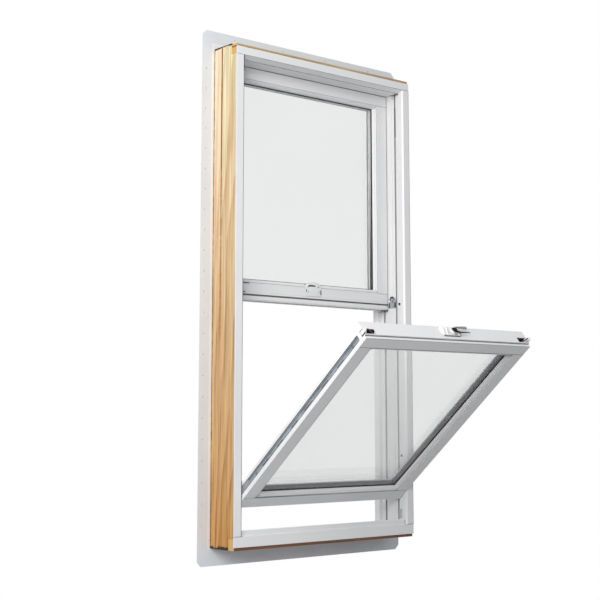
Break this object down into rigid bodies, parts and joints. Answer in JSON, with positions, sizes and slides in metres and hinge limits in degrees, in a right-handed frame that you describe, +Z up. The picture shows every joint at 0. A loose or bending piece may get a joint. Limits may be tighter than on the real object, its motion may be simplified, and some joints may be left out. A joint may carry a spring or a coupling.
{
  "type": "sash window",
  "caption": "Tilt-in double-hung sash window with a pine frame, white vinyl liners and cladding, a nailing fin and two sliding glazed sashes; the lower sash leans into the room.",
  "frame": {"origin": "centre of the rectangle of the fin's corner nail holes, on the fin's inner face that rests on the wall", "axes": "+X to the right seen from the room, +Y to the outside, +Z up"},
  "size_m": [0.732, 0.6114, 1.445],
  "materials": {
    "pine": "bare planed softwood, striped grain",
    "white_trim": "smooth satin white",
    "liner_vinyl": "smooth satin off-white",
    "clad_vinyl": "smooth satin off-white",
    "fin_vinyl": "thin matte off-white",
    "sash_vinyl": "smooth satin white",
    "lock_white": "glossy white paint",
    "grey_hardware": "satin grey",
    "black_rubber": "matte black",
    "steel": "zinc plated",
    "spacer_metal": "mill finish",
    "glass": "clear float glass"
  },
  "bodies": {
    "frame": {"jamb_left": "pine", "jamb_right": "pine", "head_board": "pine", "sill_board": "pine", "head_trim": "white_trim", "stop_left": "white_trim", "stop_right": "white_trim", "sill_trim": "white_trim", "liner_left": "liner_vinyl", "liner_right": "liner_vinyl", "head_liner": "liner_vinyl", "sub_sill": "liner_vinyl", "cladding_left": "clad_vinyl", "cladding_right": "clad_vinyl", "cladding_head": "clad_vinyl", "cladding_sill": "clad_vinyl", "fin_left": "fin_vinyl", "fin_right": "fin_vinyl", "fin_top": "fin_vinyl", "fin_bottom": "fin_vinyl", "head_seal": "black_rubber", "liner_screws": "steel", "meeting_guides": "grey_hardware", "balance_cases": "steel"},
    "upper_sash": {"upper_top_rail": "sash_vinyl", "upper_check_rail": "sash_vinyl", "upper_stiles": "sash_vinyl", "upper_beads": "sash_vinyl", "upper_gasket": "black_rubber", "upper_panes": "glass", "upper_spacer": "spacer_metal", "upper_edge_strips": "grey_hardware", "upper_pivots": "grey_hardware", "upper_shoes": "grey_hardware", "upper_end_pads": "black_rubber", "upper_pile": "black_rubber", "keeper": "lock_white", "keeper_screws": "steel"},
    "lower_carriage": {"lower_shoes": "grey_hardware"},
    "lower_sash": {"lower_bottom_rail": "sash_vinyl", "lower_check_rail": "sash_vinyl", "lower_stiles": "sash_vinyl", "lower_beads": "sash_vinyl", "lower_gasket": "black_rubber", "lower_panes": "glass", "lower_spacer": "spacer_metal", "lower_edge_strips": "grey_hardware", "lower_pivots": "grey_hardware", "sill_seal": "black_rubber", "check_seal": "black_rubber", "latch_housings": "grey_hardware", "lock_base": "lock_white", "lock_screws": "steel"},
    "lock": {"lock_lever": "lock_white"},
    "left_latch": {"latch_left": "grey_hardware"},
    "right_latch": {"latch_right": "grey_hardware"}
  },
  "joints": [
    {"name": "upper_slide", "type": "slide", "parent": "frame", "child": "upper_sash", "axis": [0, 0, 1], "range_m": [-0.56, 0]},
    {"name": "lower_slide", "type": "slide", "parent": "frame", "child": "lower_carriage", "axis": [0, 0, 1], "range_m": [-0.066, 0.5]},
    {"name": "lower_tilt", "type": "hinge", "parent": "lower_carriage", "child": "lower_sash", "pos_m": [0, -0.0685, -0.551], "axis": [1, 0, 0], "range_deg": [-50, 40]},
    {"name": "lock_turn", "type": "hinge", "parent": "lower_sash", "child": "lock", "pos_m": [0.02, -0.55723, -0.12067], "axis": [0, 0.766, -0.6428], "range_deg": [0, 170]},
    {"name": "left_latch_slide", "type": "slide", "parent": "lower_sash", "child": "left_latch", "axis": [-1, 0, 0], "range_m": [0, 0.008]},
    {"name": "right_latch_slide", "type": "slide", "parent": "lower_sash", "child": "right_latch", "axis": [1, 0, 0], "range_m": [0, 0.008]}
  ]
}
